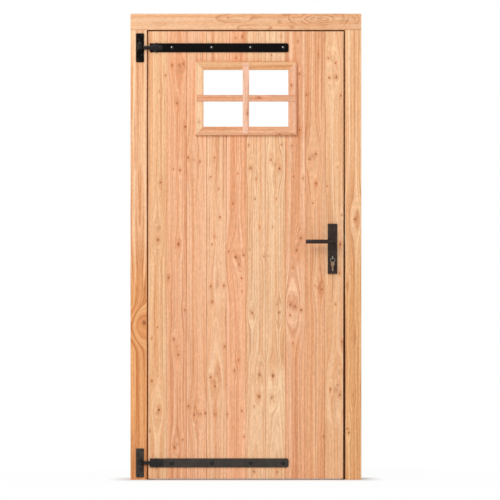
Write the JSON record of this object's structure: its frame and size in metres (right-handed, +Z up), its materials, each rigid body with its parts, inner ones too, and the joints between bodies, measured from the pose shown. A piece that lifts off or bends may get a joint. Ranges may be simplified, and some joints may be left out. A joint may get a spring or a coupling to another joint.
{
  "type": "ledged door",
  "caption": "Boarded timber door on ledges in a rebated frame, with a barred window, long strap hinges, lever handles, mortise lock and keys.",
  "frame": {"origin": "on the floor, midway between the jambs and midway through the boards", "axes": "+X towards the lock side, +Y from the outside to the inside, +Z up"},
  "size_m": [1.04, 0.1586, 2.1],
  "materials": {
    "frame_timber": "planed softwood, clear oil",
    "board_timber": "planed softwood, clear oil",
    "ledge_timber": "planed softwood, clear oil",
    "window_timber": "planed softwood, clear oil",
    "hinge_black": "black powder coat, fine texture",
    "handle_black": "dark brown-black coat, satin",
    "fixing_steel": "zinc plated",
    "lock_steel": "bright steel",
    "cylinder_nickel": "satin nickel",
    "key_nickel": "nickel plated",
    "clear_glass": "clear float glass"
  },
  "bodies": {
    "frame": {"frame_head": "frame_timber", "hinge_jamb": "frame_timber", "lock_jamb": "frame_timber", "strike_plate": "lock_steel", "strike_plate_screws": "fixing_steel", "upper_hinge_plate": "hinge_black", "lower_hinge_plate": "hinge_black", "upper_pintle": "hinge_black", "lower_pintle": "hinge_black", "hinge_plate_screws": "hinge_black"},
    "leaf": {"board_01": "board_timber", "board_02": "board_timber", "board_03": "board_timber", "board_04": "board_timber", "board_05": "board_timber", "board_06": "board_timber", "board_07": "board_timber", "board_08": "board_timber", "board_09": "board_timber", "board_10": "board_timber", "boards_over_window": "board_timber", "top_ledge": "ledge_timber", "window_ledge": "ledge_timber", "lock_ledge": "ledge_timber", "bottom_ledge": "ledge_timber", "casing_bottom": "window_timber", "casing_top": "window_timber", "casing_left": "window_timber", "casing_right": "window_timber", "window_bar_upright": "window_timber", "window_bar_level": "window_timber", "glazing_beads": "window_timber", "upper_hinge_eye": "hinge_black", "lower_hinge_eye": "hinge_black", "upper_strap": "hinge_black", "lower_strap": "hinge_black", "hinge_rivets": "hinge_black", "strap_bolts": "hinge_black", "outer_handle_plate": "handle_black", "inner_handle_plate": "handle_black", "ledge_screws": "fixing_steel", "strap_nuts": "fixing_steel", "handle_plate_bolts": "fixing_steel", "forend_screws": "fixing_steel", "cylinder_screw": "fixing_steel", "lock_case": "lock_steel", "lock_forend": "lock_steel", "cylinder_body": "cylinder_nickel", "cylinder_inner_plug": "cylinder_nickel", "glass_pane": "clear_glass"},
    "handle": {"outer_lever": "handle_black", "inner_lever": "handle_black", "spindle": "lock_steel", "follower": "lock_steel"},
    "latch": {"latch_bolt": "lock_steel"},
    "dead_bolt": {"dead_bolt": "lock_steel"},
    "key": {"cylinder_plug": "cylinder_nickel", "key": "key_nickel"},
    "key_ring": {"key_ring": "key_nickel", "spare_key": "key_nickel"}
  },
  "joints": [
    {"name": "leaf_swing", "type": "hinge", "parent": "frame", "child": "leaf", "pos_m": [-0.477, -0.0315, 1], "axis": [0, 0, -1], "range_deg": [0, 170]},
    {"name": "lever_turn", "type": "hinge", "parent": "leaf", "child": "handle", "pos_m": [0.39, 0, 1.07295], "axis": [0, -1, 0], "range_deg": [0, 40], "stiffness_Nm_per_rad": 1, "springref_deg": -45.84},
    {"name": "latch_slide", "type": "slide", "parent": "leaf", "child": "latch", "axis": [-1, 0, 0], "range_m": [0, 0.013]},
    {"name": "key_turn", "type": "hinge", "parent": "leaf", "child": "key", "pos_m": [0.39, 0, 1.00095], "axis": [0, 1, 0], "range_deg": [0, 360]},
    {"name": "dead_bolt_slide", "type": "slide", "parent": "leaf", "child": "dead_bolt", "axis": [1, 0, 0], "range_m": [0, 0.02]},
    {"name": "key_ring_swing", "type": "hinge", "parent": "key", "child": "key_ring", "pos_m": [0.39, -0.0451, 0.99925], "axis": [-1, 0, 0], "range_deg": [-15, 75]}
  ],
  "couplings": [
    {"joint": "latch_slide", "follows": "lever_turn", "m_per_rad": 0.018621},
    {"joint": "dead_bolt_slide", "follows": "key_turn", "m_per_rad": 0.0031831}
  ]
}
